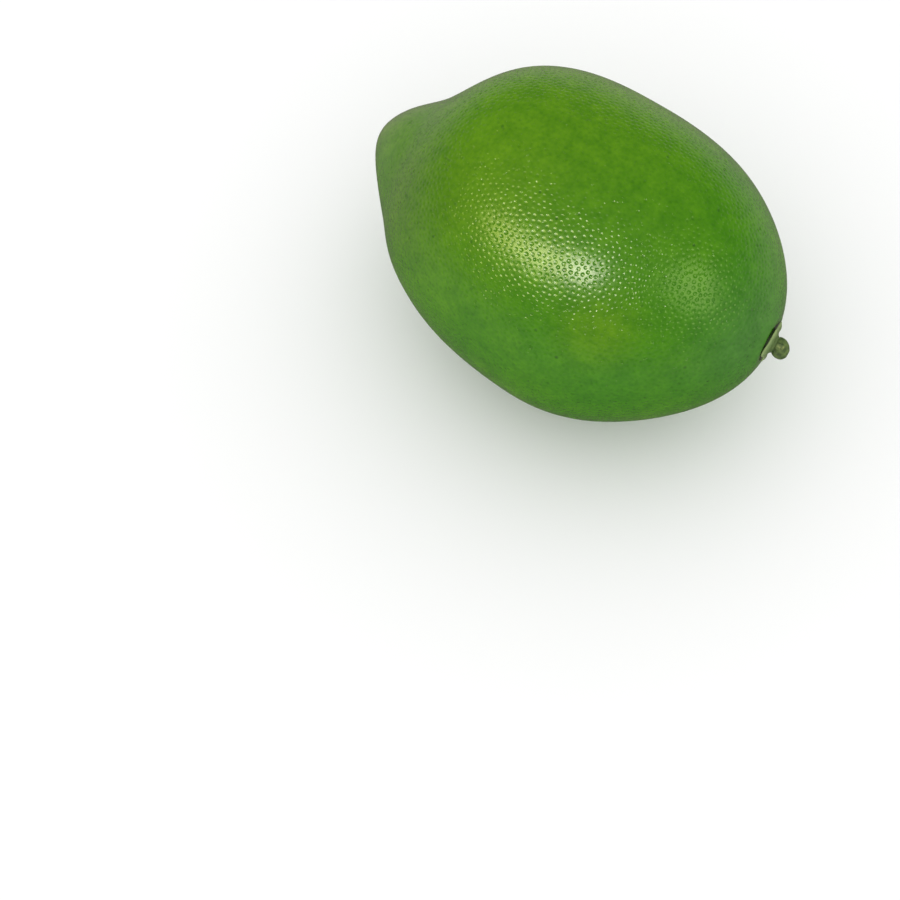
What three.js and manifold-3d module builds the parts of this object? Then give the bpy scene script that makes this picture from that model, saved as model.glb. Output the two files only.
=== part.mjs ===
// A lime lying on its side, as picked: the fruit, and the dry calyx with the stub of its stem.
// Millimetres, +Z up. +X runs along the core toward the stem end, -X toward the nipple.
// The origin is the middle of the small flat spot that the fruit rests on.
import * as THREE from "three";
import { mergeVertices } from "three/addons/utils/BufferGeometryUtils.js";
import Module from "manifold-3d";

const wasm = await Module();
wasm.setup();

const degrees = THREE.MathUtils.degToRad;

// The profile, as stations along the core from the belly and radii there.
const BELLY_RADIUS = 23.05;
const TIP_REACH = 35.8; // from the belly to the tip of the nipple
const STEM_REACH = 29.0; // from the belly to the stem end
const TIP_ROUNDING = 4.0; // how far the tip's curve pulls straight outward
const NECK_BACK = 28.1; // where the nipple's flank is steepest
const NECK_RADIUS = 10.6;
const NECK_SLOPE = degrees(49);
const NECK_TO_TIP = 3.4; // how far the flank stays straight, each way
const NECK_TO_BELLY = 6.1;
const BELLY_TO_NECK = 20.6; // how far the belly stays level, each way
const BELLY_TO_STEM = 16.6;
const STEM_FULLNESS = 10.7; // how broad the stem end is

// The core isn't straight: it sways sideways, and the nipple's neck swells on one side.
const SWAY_SIDE = degrees(202); // from +Y toward +Z
const SWAY = 0.34;
const SWAY_WAVE = 47;
const SWAY_CREST = 4.2; // station of the crest
const ARCH = 0.24; // how far the core has bent back, ARCH_SPAN from the belly
const ARCH_SPAN = 30;
const NECK_SWELL = 1.11;
const NECK_SWELL_AT = -27.7;
const NECK_SWELL_WIDTH = 5.0;

// Low lumps in the rind: waves that cross the fruit in directions spread evenly over a sphere.
const LUMP_WAVES = 6;
const LUMP_LONGEST = 40;
const LUMP_SHORTEST = 17;
const LUMP_STEEPNESS = 0.0032; // height of a wave over its length
const LUMP_PHASE = 0.3;
const GOLDEN_ANGLE = Math.PI * (3 - Math.sqrt(5));

// How the fruit lies: the core's height over the flat spot, and the flat spot's place under the core.
const CORE_HEIGHT = 22.65;
const REST_STATION = -1.1;
const REST_SIDE = 0.2;

// The calyx sits a little beside the core's end, in a shallow dimple.
const CALYX_BESIDE = 0.6;
const DIMPLE_DEPTH = 0.45;
const DIMPLE_RADIUS = 4.2;
const CALYX_TURN = degrees(5); // about Z
const CALYX_DIP = degrees(7.5); // about Y
const CALYX_RISE = 0.35; // middle of the star's thickness above the rind
const LOBES = 5;
const LOBE_TIP = 3.3;
const LOBE_NOTCH = 2.5;
const LOBE_TURN = degrees(18);
const LOBE_ROUNDNESS = 0.7; // under 1 the lobes are blunt, over 1 pointed
const STAR_THICKNESS = 0.6;
const STAR_COLLAR = 0.12; // how far the star rises round the stub
const EDGE_ROUNDING = 0.1; // share of the lobes' reach over which their edge rounds off
const RIB_HEIGHT = 0.08;
const ROOT_RADIUS = 1.9;
const ROOT_DEPTH = 1.0; // below the middle of the star's thickness
const ROOT_BEVEL = 0.3;
const SOCKET_RADIUS = 2.25;
const SOCKET_DEPTH = 1.35; // also below the middle of the star's thickness
const LEDGE_RADIUS = 3.5; // the ledge round the socket, under the star
const LEDGE_DEPTH = 0.56;
const LEDGE_FALL = 0.1; // how much deeper it is at the socket
const MOUTH_RADIUS = 5.0; // the flare above the ledge, which ends MOUTH_HEIGHT up
const MOUTH_HEIGHT = 0.6;
const STUB_NECK = 1.1;
const STUB_RADIUS = 1.42;
const STUB_MIDDLE = 1.4; // above the middle of the star's thickness
const STUB_LEAN = degrees(7);
const STUB_DIMPLE = 0.3;

const AROUND_FRUIT = 56;
const ALONG_TIP = 9;
const ALONG_FLANK = 12;
const ALONG_STEM = 14;
const AROUND_STAR = 50;
const AROUND_STUB = 28;
const ALONG_STUB = 9;

const swaySide = new THREE.Vector3(0, Math.cos(SWAY_SIDE), Math.sin(SWAY_SIDE));
const calyxBeside = swaySide.clone().multiplyScalar(-CALYX_BESIDE);

function point(station, radius) {
  return new THREE.Vector2(radius, station);
}

// From the nipple's tip over its flank and the belly to the stem end, in three curved stretches.
function fruitProfile() {
  const neck = point(-NECK_BACK, NECK_RADIUS);
  const slope = point(Math.cos(NECK_SLOPE), Math.sin(NECK_SLOPE));
  const tip = new THREE.CubicBezierCurve(
    point(-TIP_REACH, 0),
    point(-TIP_REACH, TIP_ROUNDING),
    neck.clone().addScaledVector(slope, -NECK_TO_TIP),
    neck,
  );
  const flank = new THREE.CubicBezierCurve(
    neck,
    neck.clone().addScaledVector(slope, NECK_TO_BELLY),
    point(-BELLY_TO_NECK, BELLY_RADIUS),
    point(0, BELLY_RADIUS),
  );
  const stem = new THREE.CubicBezierCurve(
    point(0, BELLY_RADIUS),
    point(BELLY_TO_STEM, BELLY_RADIUS),
    point(STEM_REACH, STEM_FULLNESS),
    point(STEM_REACH, 0),
  );
  return [
    ...tip.getPoints(ALONG_TIP),
    ...flank.getPoints(ALONG_FLANK).slice(1),
    ...stem.getPoints(ALONG_STEM).slice(1),
  ];
}

function coreSway(station) {
  const wave = SWAY * Math.cos((2 * Math.PI * (station - SWAY_CREST)) / SWAY_WAVE);
  const swell = NECK_SWELL * Math.exp(-(((station - NECK_SWELL_AT) / NECK_SWELL_WIDTH) ** 2));
  return wave + swell - ARCH * (station / ARCH_SPAN) ** 2;
}

function lumpHeight(place) {
  let height = 0;
  for (let i = 0; i < LUMP_WAVES; i += 1) {
    const up = 1 - (2 * i + 1) / LUMP_WAVES;
    const flat = Math.sqrt(1 - up * up);
    const way = new THREE.Vector3(flat * Math.cos(i * GOLDEN_ANGLE), flat * Math.sin(i * GOLDEN_ANGLE), up);
    const length = THREE.MathUtils.lerp(LUMP_LONGEST, LUMP_SHORTEST, i / (LUMP_WAVES - 1));
    const phase = (2 * Math.PI * way.dot(place)) / length + LUMP_PHASE * (i + 1) ** 2;
    height += LUMP_STEEPNESS * length * Math.sin(phase);
  }
  return height;
}

function dimpleDepth(place) {
  if (place.x < 0) return 0;
  const beside = Math.hypot(place.y - calyxBeside.y, place.z - calyxBeside.z);
  return DIMPLE_DEPTH * Math.exp(-((beside / DIMPLE_RADIUS) ** 2));
}

// Takes a place on the plain turned form to the real rind.
function growRind(place) {
  const grown = place.clone().addScaledVector(place.clone().normalize(), lumpHeight(place));
  grown.addScaledVector(swaySide, coreSway(place.x));
  grown.x -= dimpleDepth(place);
  return grown;
}

// Welds a geometry's corners and drops the slivers at its poles, for a solid that can be cut and joined.
function solid(geometry) {
  const bare = geometry.clone();
  bare.deleteAttribute("normal");
  bare.deleteAttribute("uv");
  const welded = mergeVertices(bare, 1e-5);
  const corners = welded.index.array;
  const kept = [];
  for (let i = 0; i < corners.length; i += 3) {
    const [a, b, c] = corners.slice(i, i + 3);
    if (a !== b && b !== c && c !== a) kept.push(a, b, c);
  }
  const vertProperties = new Float32Array(welded.attributes.position.array);
  return new wasm.Manifold(new wasm.Mesh({ numProp: 3, vertProperties, triVerts: new Uint32Array(kept) }));
}

function surfaceOf(body) {
  const mesh = body.getMesh();
  const geometry = new THREE.BufferGeometry();
  geometry.setAttribute("position", new THREE.BufferAttribute(new Float32Array(mesh.vertProperties), 3));
  geometry.setIndex(new THREE.BufferAttribute(new Uint32Array(mesh.triVerts), 1));
  geometry.computeVertexNormals();
  return geometry;
}

// Turns an outline of (radius, station) points about the X axis.
function turned(outline, around) {
  return new THREE.LatheGeometry(outline, around).rotateZ(-Math.PI / 2);
}

function eachCorner(geometry, move) {
  const position = geometry.attributes.position;
  const place = new THREE.Vector3();
  for (let i = 0; i < position.count; i += 1) {
    place.fromBufferAttribute(position, i);
    const moved = move(place);
    position.setXYZ(i, moved.x, moved.y, moved.z);
  }
  return geometry;
}

// Where the calyx sits: on the rind beside the core's end, raised by CALYX_RISE.
function calyxSeat() {
  const rind = growRind(new THREE.Vector3(STEM_REACH, calyxBeside.y, calyxBeside.z));
  const turn = new THREE.Euler(0, CALYX_DIP, CALYX_TURN, "ZYX");
  const outward = new THREE.Vector3(1, 0, 0).applyEuler(turn);
  return { place: rind.addScaledVector(outward, CALYX_RISE), turn };
}

function seatMatrix(seat) {
  const turn = new THREE.Quaternion().setFromEuler(seat.turn);
  return new THREE.Matrix4().compose(seat.place, turn, new THREE.Vector3(1, 1, 1));
}

// The whole fruit, with the flat spot it rests on and the socket that the calyx's root stands in.
function fruitGeometry(seat) {
  const rind = eachCorner(turned(fruitProfile(), AROUND_FRUIT), growRind);
  const below = new THREE.BoxGeometry(2 * TIP_REACH, 2 * BELLY_RADIUS, BELLY_RADIUS);
  below.translate(REST_STATION, REST_SIDE, -CORE_HEIGHT - BELLY_RADIUS / 2);
  const socketOutline = [
    point(-SOCKET_DEPTH, 0),
    point(-SOCKET_DEPTH, SOCKET_RADIUS),
    point(-LEDGE_DEPTH - LEDGE_FALL, SOCKET_RADIUS),
    point(-LEDGE_DEPTH, LEDGE_RADIUS),
    point(MOUTH_HEIGHT, MOUTH_RADIUS),
    point(MOUTH_HEIGHT, 0),
  ];
  const socket = turned(socketOutline, AROUND_STUB).applyMatrix4(seatMatrix(seat));
  return surfaceOf(solid(rind).subtract(solid(below)).subtract(solid(socket)));
}

// A five-lobed star, thin at its edge, on a round root, in the calyx's own frame: +X away from the fruit.
function starGeometry() {
  const half = STAR_THICKNESS / 2;
  const inner = (1 - EDGE_ROUNDING) * LOBE_TIP;
  const bend = (1 - EDGE_ROUNDING / 4) * LOBE_TIP;
  const outline = [
    point(-ROOT_DEPTH, 0),
    point(-ROOT_DEPTH, ROOT_RADIUS - ROOT_BEVEL),
    point(-ROOT_DEPTH + ROOT_BEVEL, ROOT_RADIUS),
    point(-half, ROOT_RADIUS),
    point(-half, inner),
    point(-half / 2, bend),
    point(0, LOBE_TIP),
    point(half / 2, bend),
    point(half, inner),
    point(half, ROOT_RADIUS),
    point(half + STAR_COLLAR, STUB_NECK),
    point(half + STAR_COLLAR, 0),
  ];
  return eachCorner(turned(outline, AROUND_STAR), (place) => {
    const radius = Math.hypot(place.y, place.z);
    const spread = THREE.MathUtils.smoothstep(radius, ROOT_RADIUS, LOBE_TIP);
    const lobe = 0.5 + 0.5 * Math.cos(LOBES * (Math.atan2(place.z, place.y) - LOBE_TURN));
    const reach = THREE.MathUtils.lerp(LOBE_NOTCH / LOBE_TIP, 1, lobe ** LOBE_ROUNDNESS);
    const pull = THREE.MathUtils.lerp(1, reach, spread);
    const rib = place.x > 0 ? RIB_HEIGHT * lobe * spread : 0;
    return new THREE.Vector3(place.x + rib, place.y * pull, place.z * pull);
  });
}

// The rounded stub of the stem, pinched where it leaves the star and dimpled at its end.
function stubGeometry() {
  const top = STUB_MIDDLE + STUB_RADIUS;
  const outline = new THREE.SplineCurve([
    point(0, STUB_NECK),
    point(STUB_MIDDLE / 4, STUB_NECK),
    point(STUB_MIDDLE, STUB_RADIUS),
    point(STUB_MIDDLE + Math.SQRT1_2 * STUB_RADIUS, Math.SQRT1_2 * STUB_RADIUS),
    point(top, STUB_RADIUS / 3),
  ]).getPoints(ALONG_STUB);
  const stub = turned([point(0, 0), ...outline, point(top - STUB_DIMPLE, 0)], AROUND_STUB);
  const leanAxis = new THREE.Vector3(1, 0, 0).cross(swaySide);
  return stub.applyMatrix4(new THREE.Matrix4().makeRotationAxis(leanAxis, STUB_LEAN));
}

function calyxGeometry() {
  return surfaceOf(solid(starGeometry()).add(solid(stubGeometry())));
}

const lime = new THREE.Group();
lime.position.set(-REST_STATION, -REST_SIDE, CORE_HEIGHT);

const seat = calyxSeat();

const rindMaterial = new THREE.MeshStandardMaterial({ color: 0x51851b, roughness: 0.38, metalness: 0 });
const fruit = new THREE.Mesh(fruitGeometry(seat), rindMaterial);
fruit.name = "fruit";
lime.add(fruit);

const calyxMaterial = new THREE.MeshStandardMaterial({ color: 0x6f7f3a, roughness: 0.75, metalness: 0 });
const calyx = new THREE.Mesh(calyxGeometry(), calyxMaterial);
calyx.name = "calyx";
calyx.position.copy(seat.place);
calyx.rotation.copy(seat.turn);
lime.add(calyx);

export default lime;
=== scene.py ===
"""A whole green lime on a pale floor: the finely pitted rind, and the dry calyx with its stub of stem.

Lengths are in millimetres until they reach Blender, and MM takes them to metres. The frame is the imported
model's: +X along the core toward the stem end, +Z up, and the origin in the flat spot it rests on.
"""

import math

import bpy
import numpy as np
from mathutils import Matrix, Vector
from mathutils.geometry import delaunay_2d_cdt
from mathutils.kdtree import KDTree


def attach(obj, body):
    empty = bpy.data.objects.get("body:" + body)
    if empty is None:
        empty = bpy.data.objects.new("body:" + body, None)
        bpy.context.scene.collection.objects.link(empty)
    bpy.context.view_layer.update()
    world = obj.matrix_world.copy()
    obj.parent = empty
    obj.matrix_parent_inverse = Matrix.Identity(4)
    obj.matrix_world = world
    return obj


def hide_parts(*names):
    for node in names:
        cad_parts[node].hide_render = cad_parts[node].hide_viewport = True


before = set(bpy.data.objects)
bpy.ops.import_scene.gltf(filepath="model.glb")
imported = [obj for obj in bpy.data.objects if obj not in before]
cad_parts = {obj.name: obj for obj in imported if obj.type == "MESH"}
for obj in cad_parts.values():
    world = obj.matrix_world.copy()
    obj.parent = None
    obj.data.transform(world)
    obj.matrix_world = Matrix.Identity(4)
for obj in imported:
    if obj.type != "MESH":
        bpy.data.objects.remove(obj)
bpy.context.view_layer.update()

MM = 0.001
TINY = 0.0001
GOLDEN_ANGLE = math.pi * (3 - math.sqrt(5))

# The camera: the photograph's frame is 900 pixels wide, and the core's middle lies at CORE_PIXEL in it.
FRAME_PIXELS = 900
CORE_PIXEL = (591.7, 251.4)
MM_PER_PIXEL = 0.1414
CAMERA_AZIMUTH = math.radians(32.82)
CAMERA_ELEVATION = math.radians(64)
CAMERA_DISTANCE = 550
CAMERA_NEAREST = 10
SENSOR_WIDTH = 36

# The fruit's form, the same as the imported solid's. Its profile has a Bezier curve round the nipple's tip, one
# from the neck to the belly, and one from the belly to the stem end. REACH is along the core.
BELLY_RADIUS = 23.05
TIP_REACH = 35.8
STEM_REACH = 29.0
TIP_ROUNDING = 4.0
NECK_BACK = 28.1
NECK_RADIUS = 10.6
NECK_SLOPE = math.radians(49)
NECK_TO_TIP = 3.4
NECK_TO_BELLY = 6.1
BELLY_TO_NECK = 20.6
BELLY_TO_STEM = 16.6
STEM_FULLNESS = 10.7
PROFILE_STEPS = 400

# How the core sways to one side, and the swelling of the nipple's neck on that side.
SWAY_SIDE = math.radians(202)
SWAY = 0.34
SWAY_WAVE = 47
SWAY_CREST = 4.2
ARCH = 0.24
ARCH_SPAN = 30
NECK_SWELL = 1.11
NECK_SWELL_AT = -27.7
NECK_SWELL_WIDTH = 5.0

# The lumps: waves that cross the fruit in all directions.
LUMP_WAVES = 6
LUMP_LONGEST = 40
LUMP_SHORTEST = 17
LUMP_STEEPNESS = 0.0032
LUMP_PHASE = 0.3

# How the fruit lies on the floor.
CORE_HEIGHT = 22.65
REST_STATION = -1.1
REST_SIDE = 0.2
CORE_MIDDLE = np.array([-REST_STATION, -REST_SIDE, CORE_HEIGHT])

# The calyx sits beside the core's end, in a dimple. Its heights are from the middle of the star's thickness.
# PHOTO_SIDE is the turn about its own axis that the photograph sees most of.
CALYX_BESIDE = 0.6
DIMPLE_DEPTH = 0.45
DIMPLE_RADIUS = 4.2
CALYX_TURN = math.radians(5)
CALYX_DIP = math.radians(7.5)
CALYX_RISE = 0.35
SWAY_WAY = np.array([0, math.cos(SWAY_SIDE), math.sin(SWAY_SIDE)])
CALYX_WAY = -CALYX_BESIDE * SWAY_WAY
PHOTO_SIDE = math.radians(112)

# The rind around the calyx: a ledge pressed into it under the star, a swelling on the photograph's side, and
# painted shade. Only rind down to SEAT_DEPTH under the calyx's middle is moved, and the ledge ends at
# SEAT_RADIUS.
SEAT_DEPTH = 4
SEAT_RADIUS = 6
LEDGE_DEPTH = 0.44
LEDGE_RADIUS = 2.2
LEDGE_CURVE = 0.35
LEDGE_SOFTNESS = 0.1
COLLAR_SWELL = 0.42
COLLAR_RADIUS = 3.5
COLLAR_WIDTH = 1.2
SHADE_RADIUS = 3.35
SHADE_SOFTNESS = 0.12

# The star: how far its lobes and notches reach, and what makes each lobe a little different. The widths of a
# lobe's crest and droop are shares of the lobe's own half width.
CALYX_SEED = 3
LOBES = 5
LOBE_TIP = 3.3
LOBE_NOTCH = 2.4735
LOBE_TURN = math.radians(14)
LOBE_WANDER = 0.045
LOBE_LEAST = 0.94
LOBE_ROUNDNESS = 1.05
CREST_WIDTH = 0.22
LOBE_DROOPS = (0.05, 0.0, 0.2, 0.0, 0.0)
LOBE_DROOP_WIDTH = 0.7
STAR_DROOP = 0.2
STAR_THICKNESS = 0.5
STAR_EDGE = 0.22
STAR_THINNING = 1.5
EDGE_ROUNDING = 0.1
RIB_HEIGHT = 0.1
RIB_LENGTH = 1 / 1.15
RIB_FULLNESS = 0.8
ROOT_RADIUS = 1.9
ROOT_DEPTH = 0.95
ROOT_FOOT = 0.7
ROOT_RAGGEDNESS = 0.3
ROOT_CLEARANCE = 0.06

# The stub: a neck that rises from the star, and a ball on it with a shallow dimple on top. The ball runs from
# an angle of STUB_START above the neck's edge to one of STUB_END above its own middle.
STUB_NECK = 1.22
NECK_RISE = 0.45
NECK_FURROWS = 0.5
NECK_BARK = 0.6
STUB_RADIUS = 1.47
STUB_MIDDLE = 1.38
STUB_LEAN = math.radians(9)
STUB_START = 0.12
STUB_END = math.pi / 2 - 0.3
STUB_DIMPLE = 0.24
STUB_RIM = 0.06

# Waves around the calyx, each as how many there are and how high they are.
CURL_WAVES = ((2, 0.04), (3, 0.04))
RAGGED_WAVES = ((17, 0.012), (29, 0.01))
FURROW_WAVES = ((5, 0.035), (9, 0.02), (16, 0.012))

# The calyx's mesh: points around it, and the rings on each stretch from the root's foot to the stub's top. A
# stretch has a number of rings, or also its first and last ring before it, as shares of the way or angles.
AROUND_CALYX = 180
ROOT_RINGS = 6
UNDER_RINGS = (0.05, 1, 16)
EDGE_RINGS = (math.radians(-70), math.radians(70), 7)
OVER_RINGS = (1, 0, 22)
NECK_RINGS = (0.1, 1, 10)
BALL_RINGS = 34
TOP_RINGS = (0.85, 0.08, 8)

# The scar on the stub, in the model's frame: which way it faces, and which way it runs. Where its lips lie
# and how wide they are is in widths of the scar.
SCAR_WAY = np.array([0.24, -0.37, 0.9])
SCAR_LINE = np.array([0.9, 0.4, -0.1])
SCAR_SPREAD = 2.2
SCAR_LENGTH = 0.5
SCAR_WIDTH = 0.19
SCAR_BEND = 0.25
SCAR_DEPTH = 0.1
SCAR_LIPS = 0.06
LIPS_AT = 1.9
LIPS_WIDTH = 0.9

# The pits over the rind's oil glands. The places are pushed apart where they lie within PIT_CROWD spacings of
# each other, and a pit's edge reaches at most PIT_CLOSEST of the way to the next pit.
PIT_SEED = 7
PIT_COUNT = 12800
PIT_JITTER = 0.42
PIT_ROUNDS = 8
PIT_NEIGHBOURS = 6
PIT_CROWD = 1.15
PIT_PUSH = 0.3
PIT_NEAREST = 0.05
PIT_RADIUS = 0.42
PIT_RADII = (0.82, 1.12)
PIT_CLOSEST = 0.485
PIT_DEPTH = 0.022
PIT_STRENGTHS = (0.55, 1.15)
STRONG_SHARE = 0.06
STRONG_PIT = 1.8
PIT_SIDES = 6
FLAT_TOLERANCE = 1e-10

# Where the pits fade out: from what distance, over what distance, and the least that is left of them. The
# first is from the calyx's middle, and the second is along the core from the origin.
CALYX_FADE = (3, 3, 0.15)
TIP_FADE = (-36, 12, 0.35)

# The bump in the gloss: the bowls of the pits, and two noises, each as its scale per millimetre, its detail
# and its height. Under the gloss, the bump is weaker.
BOWL_DEPTH = 0.062
BOWL_FULLNESS = 1.15
RIPPLES = (0.55, 2.0, 0.05)
FINE_GRAIN = (5.0, 2.0, 0.003)
UNDER_GLOSS = 0.3

# The rind's colours, linear.
GREEN_DEEP = (0.054, 0.234, 0.002, 1)
GREEN_LIGHT = (0.09, 0.286, 0.002, 1)
WARM_GREEN = (0.108, 0.27, 0.002, 1)
YELLOW_GREEN = (0.152, 0.31, 0.002, 1)
LEFT_GREEN = (0.085, 0.215, 0.002, 1)
TIP_GREEN = (0.13, 0.25, 0.035, 1)
BLUE_GREEN = (0.05, 0.2, 0.022, 1)
SPECK_GREEN = (0.03, 0.12, 0.006, 1)

# Patches of colour on the rind, each laid over the ones before: the colour, the middle in the model's frame,
# the radius, how strong it is, and what the mottling adds to that.
PATCHES = (
    (WARM_GREEN, (-10, 6, 43), 43, 1.0, 0.0),
    # partly the rind's own yellow, partly painted light on the side that faces the lamps
    (YELLOW_GREEN, (-13, -10, 41), 19, 0.4, 0.48),
    # painted shade: a darker, deeper green low on the -Y flank
    (GREEN_DEEP, (16, -19, 26), 14, 1.0, 0.0),
    (LEFT_GREEN, (-23, -11, 33), 17, 1.0, 0.0),
    # partly the tip's own yellower green, partly a painted grey haze of reflection
    (TIP_GREEN, (-34, 2, 26), 13, 1.0, 0.0),
    # painted highlight: a yellow glow round the key light's highlight
    (YELLOW_GREEN, (12, -17, 36.5), 9, 0.6, 0.0),
    (BLUE_GREEN, (28, -3, 30), 15, 0.8, 0.0))

# The noises that change the colours, each as its scale per millimetre, its detail, and what becomes 0 and 1.
RIND_CLOUDS = (0.09, 4.0, 0.3, 0.7)
RIND_MOTTLE = (0.4, 5.0, 0.34, 0.66)
RIND_GRAIN = (1.3, 3.0, 0.34, 0.66)
STAR_MOTTLE = (1.1, 4.0, 0.3, 0.7)
STAR_GRAIN = (5.0, 3.0, 0.3, 0.7)
BARK_MOTTLE = (1.6, 3.0, 0.3, 0.7)
SCAR_FLECKS = (2.6, 2.0, 0.35, 0.6)

# What darkens the rind, as its strength and the colour that it multiplies by.
MOTTLE_TINT = (0.7, (0.6, 0.77, 0.55, 1))
GRAIN_TINT = (0.6, (0.62, 0.78, 0.5, 1))
# the pits' darkening is partly the oil glands' own darker tone, partly painted shade in the pits' hollows,
# darker the deeper the pit
PIT_TINT = (0.2, (0.5, 0.62, 0.35, 1))
SPECK_SHARE = 0.007
SPECK_LEAST = 0.3
SHADE_STRENGTH = 0.5

# The calyx's colours, linear.
STAR_DARK = (0.1, 0.18, 0.05, 1)
STAR_LIGHT = (0.18, 0.27, 0.08, 1)
STAR_RIM = (0.3, 0.41, 0.15, 1)
RIM_STRENGTH = 0.8
RIM_FALL = 5.0
STUB_DARK = (0.032, 0.078, 0.012, 1)
STUB_LIGHT = (0.14, 0.22, 0.045, 1)
SCAR_YELLOW = (0.38, 0.43, 0.12, 1)
# painted shade: a dark green laid over the calyx's root and the star's underside, and over the rind beside the
# star
PAINTED_SHADE_GREEN = (0.04, 0.1, 0.015, 1)
CALYX_TINT = (0.35, (0.6, 0.65, 0.55, 1))
CALYX_GRAIN_HEIGHT = 0.03
CALYX_MOTTLE_HEIGHT = 0.06

# What is set on each shader's own sockets.
RIND_FINISH = {"Roughness": 0.6, "Specular IOR Level": 0.0, "Coat Weight": 1.0, "Coat Roughness": 0.25,
               "Coat IOR": 1.42}
CALYX_FINISH = {"Roughness": 0.62, "Specular IOR Level": 0.4}
FLOOR_FINISH = {"Base Color": (0.94, 0.94, 0.94, 1), "Roughness": 0.9, "Specular IOR Level": 0.0}

# The studio. The first is how bright the sky is and the second how bright what the gloss mirrors is, both as
# pairs of the height looked at, from -1 straight down to 1 straight up, and the brightness there.
SKY = ((-1, 0.9), (0, 0.93), (1, 1.22))
MIRRORED = ((-1, 0.12), (-0.75, 0.24), (-0.35, 0.58), (-0.05, 0.4), (0.1, 0.04), (1, 0.012))
MIRRORED_TINT = (1.2, 0.95, 1.0)
BRIGHTEST = 1.4
FLOOR_SIZE = 4000

# Round soft lights that only the gloss shows: the way to each from the core's middle, its diameter, its power
# in watts and its colour.
LIGHT_DISTANCE = 700
LIGHTS = {
    "key": ((0.13, -0.586, 0.8), 200, 3.4, (1, 0.97, 0.75)),
    "key_wide": ((-0.18, -0.64, 0.74), 240, 2.4, (1, 0.97, 0.5)),
    "key_left": ((-0.45, -0.6, 0.65), 220, 1.15, (1, 0.96, 0.3)),
    "side": ((0.874, -0.055, 0.482), 360, 1.5, (0.85, 1, 0.42))}


def bezier(a, b, c, d, steps):
    t = np.linspace(0, 1, steps + 1)[:, None]
    a, b, c, d = (np.array(p, float) for p in (a, b, c, d))
    return (1 - t) ** 3 * a + 3 * (1 - t) ** 2 * t * b + 3 * (1 - t) * t ** 2 * c + t ** 3 * d


def fruit_profile():
    """Rows of (station, radius) from the nipple's tip to the stem end."""
    slope = np.array([math.cos(NECK_SLOPE), math.sin(NECK_SLOPE)])
    neck = np.array([-NECK_BACK, NECK_RADIUS])
    belly = (0, BELLY_RADIUS)
    tip = bezier((-TIP_REACH, 0), (-TIP_REACH, TIP_ROUNDING), neck - NECK_TO_TIP * slope, neck, PROFILE_STEPS)
    flank = bezier(neck, neck + NECK_TO_BELLY * slope, (-BELLY_TO_NECK, BELLY_RADIUS), belly, PROFILE_STEPS)
    stem = bezier(belly, (BELLY_TO_STEM, BELLY_RADIUS), (STEM_REACH, STEM_FULLNESS), (STEM_REACH, 0),
                  PROFILE_STEPS)
    return np.concatenate([tip, flank[1:], stem[1:]])


def core_sway(station):
    wave = SWAY * np.cos(2 * np.pi * (station - SWAY_CREST) / SWAY_WAVE)
    swell = NECK_SWELL * np.exp(-((station - NECK_SWELL_AT) / NECK_SWELL_WIDTH) ** 2)
    return wave + swell - ARCH * (station / ARCH_SPAN) ** 2


def lump_height(places):
    height = np.zeros(len(places))
    for i in range(LUMP_WAVES):
        up = 1 - (2 * i + 1) / LUMP_WAVES
        flat = math.sqrt(1 - up * up)
        way = np.array([flat * math.cos(i * GOLDEN_ANGLE), flat * math.sin(i * GOLDEN_ANGLE), up])
        length = LUMP_LONGEST + (LUMP_SHORTEST - LUMP_LONGEST) * i / (LUMP_WAVES - 1)
        phase = 2 * np.pi * (places @ way) / length + LUMP_PHASE * (i + 1) ** 2
        height += LUMP_STEEPNESS * length * np.sin(phase)
    return height


def grow_rind(places):
    """Takes places on the plain turned form to the real rind, both about the core's middle."""
    away = places / np.linalg.norm(places, axis=1, keepdims=True)
    grown = places + away * lump_height(places)[:, None]
    grown += core_sway(places[:, 0])[:, None] * SWAY_WAY
    beside = np.linalg.norm(places[:, 1:] - CALYX_WAY[1:], axis=1)
    grown[:, 0] -= np.where(places[:, 0] > 0, DIMPLE_DEPTH * np.exp(-(beside / DIMPLE_RADIUS) ** 2), 0)
    return grown


def calyx_seat():
    """The calyx's middle and its own frame in the model's: its X axis points out of the fruit."""
    turn = np.array(Matrix.Rotation(CALYX_TURN, 3, "Z") @ Matrix.Rotation(CALYX_DIP, 3, "Y"))
    rind = grow_rind(np.array([[STEM_REACH, CALYX_WAY[1], CALYX_WAY[2]]]))[0]
    return rind + CORE_MIDDLE + CALYX_RISE * turn[:, 0], turn


def shape_seat(places):
    """Swells the rind beside the star, and presses it down into a ledge under it."""
    middle, turn = calyx_seat()
    own = (places - middle) @ turn
    beside = np.hypot(own[:, 1], own[:, 2])
    side = 0.5 + 0.5 * np.cos(np.arctan2(own[:, 2], own[:, 1]) - PHOTO_SIDE)
    swell = COLLAR_SWELL * side * np.exp(-((beside - COLLAR_RADIUS) / COLLAR_WIDTH) ** 2)
    own[:, 0] += np.where(own[:, 0] > -SEAT_DEPTH, swell, 0)
    most = -LEDGE_DEPTH + LEDGE_CURVE * np.maximum(beside - LEDGE_RADIUS, 0) ** 2
    over = (own[:, 0] - most) / LEDGE_SOFTNESS
    near = (own[:, 0] > -SEAT_DEPTH) & (beside < SEAT_RADIUS)
    own[:, 0] = np.where(near, most + LEDGE_SOFTNESS * (over - np.logaddexp(0, over)), own[:, 0])
    return own @ turn.T + middle


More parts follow.
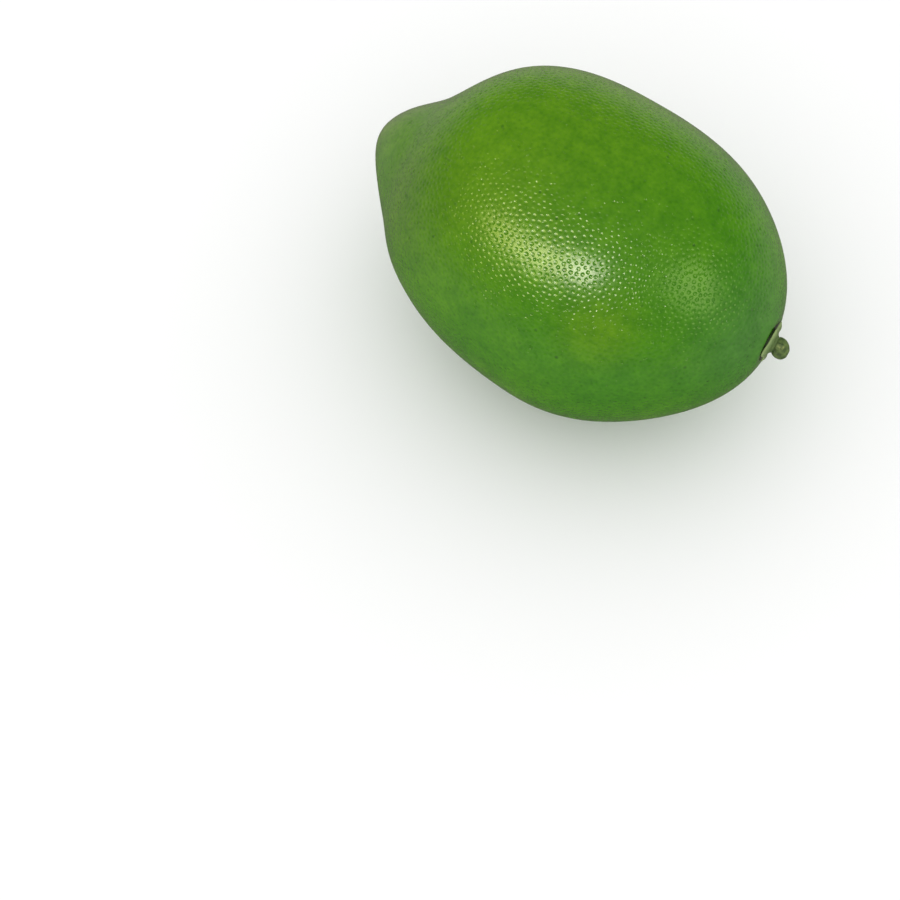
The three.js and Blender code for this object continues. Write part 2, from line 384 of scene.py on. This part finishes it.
class Form:
    """The plain turned form, walked along its profile from the nipple's tip."""

    def __init__(self):
        self.rows = fruit_profile()
        step = np.hypot(*np.diff(self.rows, axis=0).T)
        middle = 0.5 * (self.rows[1:, 1] + self.rows[:-1, 1])
        self.walk = np.concatenate([[0], np.cumsum(step)])
        self.area = np.concatenate([[0], np.cumsum(2 * np.pi * middle * step)])
        # the radius of each ring in a flat map that keeps angles, for triangulating
        self.chart = np.concatenate([[0], np.exp(np.cumsum(step / middle) - np.sum(step / middle) / 2)])

    def place(self, walk, turn):
        station = np.interp(walk, self.walk, self.rows[:, 0])
        radius = np.interp(walk, self.walk, self.rows[:, 1])
        return np.stack([station, radius * np.cos(turn), radius * np.sin(turn)], 1)

    def walk_of(self, places):
        """The walk and turn of the form's place on the ray from the core's middle through each place."""
        radius = np.hypot(places[:, 1], places[:, 2])
        angle = np.arctan2(radius, -places[:, 0])
        own = np.arctan2(self.rows[:, 1], -self.rows[:, 0])
        return np.interp(angle, own, self.walk), np.arctan2(places[:, 2], places[:, 1])

    def flat(self, walk, turn):
        ring = np.exp(np.interp(walk, self.walk[1:], np.log(self.chart[1:])))
        return np.stack([ring * np.cos(turn), ring * np.sin(turn)], 1)


def tree_of(places):
    tree = KDTree(len(places))
    for i, place in enumerate(places):
        tree.insert(place, i)
    tree.balance()
    return tree


def even_pits(form, random):
    """Pit centres spread evenly but not in rows: a spiral, shaken, then pushed apart a few times."""
    index = np.arange(PIT_COUNT) + 0.5
    walk = np.interp(index / PIT_COUNT * form.area[-1], form.area, form.walk)
    places = form.place(walk, index * GOLDEN_ANGLE)
    spacing = math.sqrt(form.area[-1] / PIT_COUNT / (math.sqrt(3) / 2))
    crowd = PIT_CROWD * spacing
    places += random.normal(0, PIT_JITTER * spacing, places.shape)
    for _ in range(PIT_ROUNDS):
        places = form.place(*form.walk_of(places))
        tree = tree_of(places)
        push = np.zeros_like(places)
        for i, place in enumerate(places):
            for other, _, distance in tree.find_n(place, PIT_NEIGHBOURS + 1)[1:]:
                if distance < crowd:
                    push[i] += (place - np.array(other)) / max(distance, PIT_NEAREST) * (crowd - distance)
        places += PIT_PUSH * push
    places = form.place(*form.walk_of(places))
    tree = tree_of(places)
    gap = np.array([tree.find_n(place, 2)[1][2] for place in places])
    return places, gap


def triangles_of(chart):
    """Joins points of the flat map by triangles, and its outer edge to the last point, the stem end."""
    result = delaunay_2d_cdt([Vector(p) for p in chart[:-1]], [], [], 0, FLAT_TOLERANCE)
    origin = np.array([found[0] for found in result[3]])
    faces = origin[np.array(result[2])]
    sides = np.concatenate([faces[:, [0, 1]], faces[:, [1, 2]], faces[:, [2, 0]]])
    key = sides[:, 0].astype(np.int64) * len(chart) + sides[:, 1]
    back = sides[:, 1].astype(np.int64) * len(chart) + sides[:, 0]
    edge = sides[~np.isin(key, back)]
    last = np.full(len(edge), len(chart) - 1)
    return np.concatenate([faces, np.stack([edge[:, 1], edge[:, 0], last], 1)])[:, ::-1]


def mesh_of(name, places, faces):
    mesh = bpy.data.meshes.new(name)
    mesh.from_pydata((places * MM).tolist(), [], faces.tolist())
    mesh.validate()
    mesh.polygons.foreach_set("use_smooth", [True] * len(mesh.polygons))
    mesh.update()
    piece = bpy.data.objects.new(name, mesh)
    bpy.context.scene.collection.objects.link(piece)
    return piece


def add_values(piece, name, values):
    values = np.asarray(values, np.float32)
    if values.ndim == 1:
        piece.data.attributes.new(name, "FLOAT", "POINT").data.foreach_set("value", values)
    else:
        piece.data.attributes.new(name, "FLOAT_VECTOR", "POINT").data.foreach_set("vector", values.ravel())


def fade(distance, start, over, least):
    return np.clip((distance - start) / over, least, 1)


def ways_around(centres, random):
    """For each side of the pits, the way from each pit's middle to that corner of its edge."""
    outward = centres / np.linalg.norm(centres, axis=1, keepdims=True)
    around = np.cross(outward, [1.0, 0, 0])
    around /= np.maximum(np.linalg.norm(around, axis=1, keepdims=True), TINY)
    along = np.cross(around, outward)
    start = random.uniform(0, 2 * np.pi, len(centres))
    ways = []
    for side in range(PIT_SIDES):
        turn = start + 2 * np.pi * side / PIT_SIDES
        ways.append(np.cos(turn)[:, None] * along + np.sin(turn)[:, None] * around)
    return ways


def build_rind():
    random = np.random.default_rng(PIT_SEED)
    form = Form()
    centres, gap = even_pits(form, random)
    count = len(centres)
    radius = np.minimum(PIT_RADIUS * random.uniform(*PIT_RADII, count), PIT_CLOSEST * gap)
    strength = random.uniform(*PIT_STRENGTHS, count) * (radius / PIT_RADIUS)
    strength[random.uniform(0, 1, count) < STRONG_SHARE] *= STRONG_PIT
    ways = ways_around(centres, random)
    rims = [centres + radius[:, None] * way for way in ways]
    stem_end = [[STEM_REACH, TINY, 0]]
    walk, turn = form.walk_of(np.concatenate([centres] + rims + [stem_end]))
    faces = triangles_of(form.flat(walk, turn))
    grown = shape_seat(grow_rind(form.place(walk, turn)) + CORE_MIDDLE)
    grown[:, 2] = np.maximum(grown[:, 2], 0)
    piece = mesh_of("rind", grown, faces)

    # the pits' middles are pressed in, but not on the flat spot
    normal = np.zeros(len(grown) * 3, np.float32)
    piece.data.vertex_normals.foreach_get("vector", normal)
    from_calyx = np.linalg.norm(grown - calyx_seat()[0], axis=1)
    strength *= fade(from_calyx[:count], *CALYX_FADE) * fade(grown[:count, 0], *TIP_FADE)
    inward = np.zeros(len(grown))
    inward[:count] = PIT_DEPTH * strength
    inward[grown[:, 2] < TINY] = 0
    grown = grown - normal.reshape(-1, 3) * inward[:, None]
    piece.data.vertices.foreach_set("co", (grown * MM).ravel())
    piece.data.update()

    # what the material reads: the way from the pit's middle, where 1 is the bowl's edge, whether a point is a
    # pit's middle, the painted shade by the calyx, how deep each pit is, and how dark its speck
    reach = 1 / math.cos(math.pi / PIT_SIDES)
    way = np.concatenate([np.zeros((count, 3))] + [reach * w for w in ways] + [np.zeros((1, 3))])
    add_values(piece, "way", way)
    add_values(piece, "inside", np.concatenate([np.ones(count), np.zeros(PIT_SIDES * count + 1)]))
    add_values(piece, "shade", 1 / (1 + np.exp((from_calyx - SHADE_RADIUS) / SHADE_SOFTNESS)))
    specked = random.uniform(0, 1, count) < SPECK_SHARE
    speck = np.where(specked, random.uniform(SPECK_LEAST, 1, count), 0)
    for name, each in (("deep", strength), ("speck", speck)):
        add_values(piece, name, np.concatenate([np.tile(each, PIT_SIDES + 1), [0]]))
    return piece


def star_lobes(turn, random):
    """At each turn, how far the star reaches, how near a lobe's middle is, and how far its edge droops."""
    reach = np.full(len(turn), LOBE_NOTCH)
    crest = np.zeros(len(turn))
    droop = STAR_DROOP * (0.5 + 0.5 * np.cos(turn - PHOTO_SIDE)) ** 2
    for lobe in range(LOBES):
        middle = LOBE_TURN + 2 * math.pi * lobe / LOBES + random.normal(0, LOBE_WANDER)
        tip = LOBE_TIP * random.uniform(LOBE_LEAST, 1.0)
        off = np.abs((turn - middle + math.pi) % (2 * math.pi) - math.pi) / (math.pi / LOBES)
        swell = (0.5 + 0.5 * np.cos(math.pi * np.minimum(off, 1))) ** LOBE_ROUNDNESS
        reach = np.maximum(reach, LOBE_NOTCH + (tip - LOBE_NOTCH) * swell)
        crest = np.maximum(crest, np.exp(-(off / CREST_WIDTH) ** 2))
        droop += LOBE_DROOPS[lobe] * np.exp(-(off / LOBE_DROOP_WIDTH) ** 2)
    return reach, crest, droop


def waves_around(turn, waves, random):
    height = np.zeros(len(turn))
    for count, size in waves:
        height += size * np.sin(count * turn + random.uniform(0, 2 * np.pi))
    return height


class Rings:
    """The calyx's points as rings around its own X axis, from the root's foot to the stub's top.

    The shares say how near the star's edge a ring is, how much it is stub, and how much it is root, where the
    material lays painted shade.
    """

    def __init__(self):
        self.turn = np.linspace(0, 2 * np.pi, AROUND_CALYX, endpoint=False)
        self.rings = []
        self.shares = []

    def add(self, height, radius, edge=0, stub=0, root=0):
        turn = self.turn
        self.rings.append(np.stack([height + 0 * turn, radius * np.cos(turn), radius * np.sin(turn)], 1))
        self.shares.append((edge, stub, root))

    def points(self):
        return np.concatenate(self.rings)

    def share(self, which):
        return np.repeat([shares[which] for shares in self.shares], AROUND_CALYX)

    def faces(self):
        """Triangles between the rings, and to two points after them: the foot's middle and the top's."""
        grid = np.arange(len(self.rings) * AROUND_CALYX).reshape(-1, AROUND_CALYX)
        turned = np.roll(grid, -1, 1)
        quads = np.stack([grid[:-1], grid[1:], turned[1:], turned[:-1]], -1).reshape(-1, 4)
        foot = np.full(AROUND_CALYX, grid.size)
        return np.concatenate([quads[:, [0, 1, 2]], quads[:, [0, 2, 3]],
                               np.stack([grid[0], turned[0], foot], 1),
                               np.stack([turned[-1], grid[-1], foot + 1], 1)])


def add_root(rings, ragged):
    rings.add(-ROOT_DEPTH, ROOT_FOOT * ROOT_RADIUS, root=1)
    for depth in np.linspace(ROOT_DEPTH, STAR_THICKNESS / 2 + ROOT_CLEARANCE, ROOT_RINGS):
        rings.add(-depth, ROOT_RADIUS * (1 + ROOT_RAGGEDNESS * ragged), root=1)


def add_star(rings, reach, crest, curl):
    """The star from the root out along its underside, round its edge and back along its top to the stub."""
    rim = reach - EDGE_ROUNDING

    def half_thickness(share):
        return 0.5 * (STAR_THICKNESS + (STAR_EDGE - STAR_THICKNESS) * share ** STAR_THINNING)

    for share in np.linspace(*UNDER_RINGS):
        rings.add(-half_thickness(share) + curl * share ** 2, ROOT_RADIUS + (rim - ROOT_RADIUS) * share,
                  edge=share, root=1 - share ** 3)
    for bend in np.linspace(*EDGE_RINGS):
        rings.add(0.5 * STAR_EDGE * math.sin(bend) + curl, rim + EDGE_ROUNDING * math.cos(bend), edge=1)
    for share in np.linspace(*OVER_RINGS):
        rib = RIB_HEIGHT * crest * math.sin(math.pi * min(1, share / RIB_LENGTH)) ** RIB_FULLNESS
        rings.add(half_thickness(share) + rib + curl * share ** 2, ROOT_RADIUS + (rim - ROOT_RADIUS) * share,
                  edge=share)


def add_stub(rings, furrows):
    for share in np.linspace(*NECK_RINGS):
        bend = 0.5 * math.pi * share
        radius = ROOT_RADIUS + (STUB_NECK - ROOT_RADIUS) * math.sin(bend)
        rings.add(0.5 * STAR_THICKNESS + NECK_RISE * (1 - math.cos(bend)),
                  radius * (1 + NECK_FURROWS * furrows * share), stub=NECK_BARK * share)
    start = STUB_START - math.acos(STUB_NECK / STUB_RADIUS)
    for bend in np.linspace(start, STUB_END, BALL_RINGS):
        rings.add(STUB_MIDDLE + STUB_RADIUS * math.sin(bend),
                  STUB_RADIUS * math.cos(bend) * (1 + furrows), stub=1)
    top = STUB_MIDDLE + STUB_RADIUS * math.sin(STUB_END)
    for share in np.linspace(*TOP_RINGS):
        rings.add(top + STUB_RIM * math.sin(math.pi * share) - STUB_DIMPLE * (1 - share ** 2),
                  share * STUB_RADIUS * math.cos(STUB_END) * (1 + furrows), stub=1)


def cut_scar(own, stub, frame):
    """Cuts a shallow crease with raised lips into the stub, and says how deep in the crease each point is."""
    way = SCAR_WAY @ frame
    line = SCAR_LINE @ frame
    line = line - way * (line @ way)
    line /= np.linalg.norm(line)
    away = own - [STUB_MIDDLE, *(math.tan(STUB_LEAN) * (STUB_MIDDLE - STAR_THICKNESS / 2) * SWAY_WAY[1:])]
    out = away / np.maximum(np.linalg.norm(away, axis=1, keepdims=True), TINY)
    length = away @ line / SCAR_LENGTH
    width = (away @ np.cross(way, line) - SCAR_BEND * length ** 2) / SCAR_WIDTH
    within = np.exp(-length ** 4) * np.clip((out @ way) * SCAR_SPREAD, 0, 1) * (stub == 1)
    crease = np.exp(-width ** 2) * within
    lips = np.exp(-((np.abs(width) - LIPS_AT) / LIPS_WIDTH) ** 2) * within
    return own + out * (SCAR_LIPS * lips - SCAR_DEPTH * crease)[:, None], crease


def build_calyx():
    random = np.random.default_rng(CALYX_SEED)
    rings = Rings()
    reach, crest, droop = star_lobes(rings.turn, random)
    curl = waves_around(rings.turn, CURL_WAVES, random) - droop
    ragged = waves_around(rings.turn, RAGGED_WAVES, random)
    furrows = waves_around(rings.turn, FURROW_WAVES, random)
    add_root(rings, ragged)
    add_star(rings, reach * (1 + ragged), crest, curl)
    add_stub(rings, furrows)

    own = rings.points()
    above = np.maximum(own[:, 0] - STAR_THICKNESS / 2, 0)
    own[:, 1:] += math.tan(STUB_LEAN) * above[:, None] * SWAY_WAY[1:]
    middle, frame = calyx_seat()
    edge, stub, root = (rings.share(which) for which in range(3))
    own, crease = cut_scar(own, stub, frame)
    own = np.concatenate([own, [[-ROOT_DEPTH, 0, 0]], [own[-AROUND_CALYX:].mean(0)]])

    piece = mesh_of("calyx_star", own @ frame.T + middle, rings.faces())
    add_values(piece, "edge", np.append(edge, [0, 0]))
    add_values(piece, "stub", np.append(stub, [0, 1]))
    add_values(piece, "scar", np.append(crease, [0, 0]))
    add_values(piece, "root", np.append(root, [1, 0]))
    return piece


def new_material(name, finish):
    material = bpy.data.materials.new(name)
    material.use_nodes = True
    shader = material.node_tree.nodes["Principled BSDF"]
    for socket, value in finish.items():
        shader.inputs[socket].default_value = value
    return material, material.node_tree, shader


def set_socket(tree, socket, value):
    """Links another node's output to a socket, or sets the socket to a plain value."""
    if isinstance(value, bpy.types.NodeSocket):
        tree.links.new(value, socket)
    else:
        socket.default_value = value


def add_node(tree, kind, inputs=(), **settings):
    """A node with its settings, and its inputs from a dictionary of plain values or other nodes' outputs."""
    node = tree.nodes.new("ShaderNode" + kind)
    for name, value in settings.items():
        setattr(node, name, value)
    for name, value in dict(inputs).items():
        set_socket(tree, node.inputs[name], value)
    return node


def calculate(tree, operation, a, b=0.0, clamp=False):
    return add_node(tree, "Math", {0: a, 1: b}, operation=operation, use_clamp=clamp).outputs[0]


def multiply(tree, a, b, clamp=False):
    return calculate(tree, "MULTIPLY", a, b, clamp)


def add_up(tree, first, *others):
    for other in others:
        first = calculate(tree, "ADD", first, other)
    return first


def mix_colour(tree, share, a, b, blend="MIX"):
    node = add_node(tree, "Mix", data_type="RGBA", blend_type=blend)
    for socket, value in zip((node.inputs[0], node.inputs[6], node.inputs[7]), (share, a, b)):
        set_socket(tree, socket, value)
    return node.outputs[2]


def darken(tree, amount, colour, tint):
    strength, multiplier = tint
    return mix_colour(tree, multiply(tree, amount, strength), colour, multiplier, "MULTIPLY")


def read_value(tree, name):
    return add_node(tree, "Attribute", attribute_name=name).outputs["Fac"]


def millimetres(tree):
    place = add_node(tree, "TexCoord").outputs["Object"]
    return add_node(tree, "VectorMath", {0: place, "Scale": 1 / MM}, operation="SCALE").outputs[0]


def raw_noise(tree, place, scale, detail):
    return add_node(tree, "TexNoise", {"Vector": place, "Scale": scale, "Detail": detail}).outputs[0]


def noise(tree, place, scale, detail, low, high):
    spread = {"Value": raw_noise(tree, place, scale, detail), "From Min": low, "From Max": high}
    return add_node(tree, "MapRange", spread).outputs[0]


def noise_height(tree, place, scale, detail, height):
    return multiply(tree, raw_noise(tree, place, scale, detail), height)


def nearness(tree, place, middle, radius):
    """1 at a place on the rind and falling to 0 at a distance from it."""
    away = add_node(tree, "VectorMath", {0: place, 1: middle}, operation="DISTANCE").outputs["Value"]
    spread = {"Value": away, "From Min": radius, "From Max": 0.0}
    return add_node(tree, "MapRange", spread, interpolation_type="SMOOTHSTEP").outputs[0]


def add_bump(tree, shader, socket, height, strength):
    bump = add_node(tree, "Bump", {"Strength": strength, "Distance": MM, "Height": height})
    tree.links.new(bump.outputs[0], shader.inputs[socket])


def pit_bowls(tree):
    """At each point of the rind, how far down a pit's bowl it lies: 0 at the edge and 1 at the middle."""
    way = add_node(tree, "Attribute", attribute_name="way").outputs["Vector"]
    off = add_node(tree, "VectorMath", {0: way}, operation="LENGTH").outputs["Value"]
    wall = calculate(tree, "SUBTRACT", 1.0, multiply(tree, off, off), clamp=True)
    inside = calculate(tree, "GREATER_THAN", read_value(tree, "inside"), TINY)
    return multiply(tree, calculate(tree, "POWER", wall, BOWL_FULLNESS), inside)


def rind_material():
    material, tree, shader = new_material("rind", RIND_FINISH)
    place = millimetres(tree)
    bowl = pit_bowls(tree)
    deep = multiply(tree, bowl, read_value(tree, "deep"))
    mottle = noise(tree, place, *RIND_MOTTLE)
    grain = noise(tree, place, *RIND_GRAIN)

    colour = mix_colour(tree, noise(tree, place, *RIND_CLOUDS), GREEN_DEEP, GREEN_LIGHT)
    for patch, middle, radius, strength, mottled in PATCHES:
        if mottled:
            strength = add_up(tree, multiply(tree, mottle, mottled), strength)
        share = multiply(tree, nearness(tree, place, middle, radius), strength)
        colour = mix_colour(tree, share, colour, patch)
    colour = darken(tree, mottle, colour, MOTTLE_TINT)
    colour = darken(tree, grain, colour, GRAIN_TINT)
    # partly the oil glands' own tone, partly painted shade in the pits' hollows: deeper pits darker
    colour = darken(tree, deep, colour, PIT_TINT)
    speck = multiply(tree, bowl, read_value(tree, "speck"), clamp=True)
    colour = mix_colour(tree, speck, colour, SPECK_GREEN)
    # painted shade: the rind beside and under the star is darkened towards the dark green
    shade = multiply(tree, read_value(tree, "shade"), SHADE_STRENGTH)
    colour = mix_colour(tree, shade, colour, PAINTED_SHADE_GREEN)
    tree.links.new(colour, shader.inputs["Base Color"])

    height = add_up(tree, multiply(tree, deep, -BOWL_DEPTH), noise_height(tree, place, *RIPPLES),
                    noise_height(tree, place, *FINE_GRAIN))
    add_bump(tree, shader, "Coat Normal", height, 1.0)
    add_bump(tree, shader, "Normal", height, UNDER_GLOSS)
    return material


def calyx_material():
    material, tree, shader = new_material("calyx", CALYX_FINISH)
    place = millimetres(tree)
    mottle = noise(tree, place, *STAR_MOTTLE)
    grain = noise(tree, place, *STAR_GRAIN)

    colour = mix_colour(tree, mottle, STAR_DARK, STAR_LIGHT)
    edge = calculate(tree, "POWER", read_value(tree, "edge"), RIM_FALL)
    colour = mix_colour(tree, multiply(tree, edge, RIM_STRENGTH), colour, STAR_RIM)
    bark = mix_colour(tree, noise(tree, place, *BARK_MOTTLE), STUB_DARK, STUB_LIGHT)
    colour = mix_colour(tree, read_value(tree, "stub"), colour, bark)
    scar = multiply(tree, read_value(tree, "scar"), noise(tree, place, *SCAR_FLECKS), clamp=True)
    colour = mix_colour(tree, scar, colour, SCAR_YELLOW)
    colour = darken(tree, grain, colour, CALYX_TINT)
    # painted shade: the root and the star's underside next to it are darkened, where shade falls under the star
    colour = mix_colour(tree, read_value(tree, "root"), colour, PAINTED_SHADE_GREEN)
    tree.links.new(colour, shader.inputs["Base Color"])

    height = add_up(tree, multiply(tree, grain, CALYX_GRAIN_HEIGHT),
                    multiply(tree, mottle, CALYX_MOTTLE_HEIGHT))
    add_bump(tree, shader, "Normal", height, 1.0)
    return material


def add_floor():
    bpy.ops.mesh.primitive_plane_add(size=FLOOR_SIZE * MM, location=(0, 0, 0))
    floor = bpy.context.object
    floor.name = "floor"
    floor.data.materials.append(new_material("floor", FLOOR_FINISH)[0])
    floor.visible_glossy = False


def add_camera():
    a, e = CAMERA_AZIMUTH, CAMERA_ELEVATION
    right = Vector((math.cos(a), math.sin(a), 0))
    up = Vector((-math.sin(a) * math.sin(e), math.cos(a) * math.sin(e), math.cos(e)))
    back = Vector((math.sin(a) * math.cos(e), -math.cos(a) * math.cos(e), math.sin(e)))
    half = FRAME_PIXELS / 2
    target = (Vector(CORE_MIDDLE) - (CORE_PIXEL[0] - half) * MM_PER_PIXEL * right
              - (half - CORE_PIXEL[1]) * MM_PER_PIXEL * up)
    data = bpy.data.cameras.new("camera")
    data.sensor_width = SENSOR_WIDTH
    data.lens = SENSOR_WIDTH * CAMERA_DISTANCE / (FRAME_PIXELS * MM_PER_PIXEL)
    data.clip_start = CAMERA_NEAREST * MM
    camera = bpy.data.objects.new("camera", data)
    bpy.context.scene.collection.objects.link(camera)
    turn = Matrix((right, up, back)).transposed().to_4x4()
    camera.matrix_world = Matrix.Translation((target + CAMERA_DISTANCE * back) * MM) @ turn
    bpy.context.scene.camera = camera


def add_light(name, way, diameter, power, colour):
    data = bpy.data.lights.new(name, "AREA")
    data.shape = "DISK"
    data.size = diameter * MM
    data.energy = power
    data.color = colour
    light = bpy.data.objects.new(name, data)
    bpy.context.scene.collection.objects.link(light)
    way = Vector(way).normalized()
    light.location = (Vector(CORE_MIDDLE) + LIGHT_DISTANCE * way) * MM
    light.rotation_euler = way.to_track_quat("Z", "Y").to_euler()
    light.visible_diffuse = False


def brightness_by_height(tree, steps, tint):
    """A colour for the world that changes with the height looked at, as a share of BRIGHTEST."""
    way = add_node(tree, "TexCoord").outputs["Generated"]
    height = add_node(tree, "SeparateXYZ", {0: way}).outputs["Z"]
    spread = {"Value": height, "From Min": -1.0, "From Max": 1.0}
    ramp = add_node(tree, "ValToRGB", {0: add_node(tree, "MapRange", spread).outputs[0]})
    stops = ramp.color_ramp.elements
    while len(stops) < len(steps):
        stops.new(0.5)
    for stop, (at, bright) in zip(stops, steps):
        stop.position = 0.5 + 0.5 * at
        stop.color = (*(bright * t / BRIGHTEST for t in tint), 1)
    return ramp.outputs[0]


def set_world():
    world = bpy.data.worlds.new("world")
    bpy.context.scene.world = world
    world.use_nodes = True
    world.cycles.sampling_method = "NONE"
    tree = world.node_tree
    background = tree.nodes["Background"]
    background.inputs["Strength"].default_value = BRIGHTEST
    glossy = add_node(tree, "LightPath").outputs["Is Glossy Ray"]
    seen = mix_colour(tree, glossy, brightness_by_height(tree, SKY, (1, 1, 1)),
                      brightness_by_height(tree, MIRRORED, MIRRORED_TINT))
    tree.links.new(seen, background.inputs["Color"])


add_camera()
set_world()
for name, light in LIGHTS.items():
    add_light(name, *light)
add_floor()
bpy.context.scene.view_settings.view_transform = "Standard"

rind = build_rind()
rind.data.materials.append(rind_material())
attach(rind, "root")
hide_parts("fruit")

calyx = build_calyx()
calyx.data.materials.append(calyx_material())
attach(calyx, "root")
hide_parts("calyx")
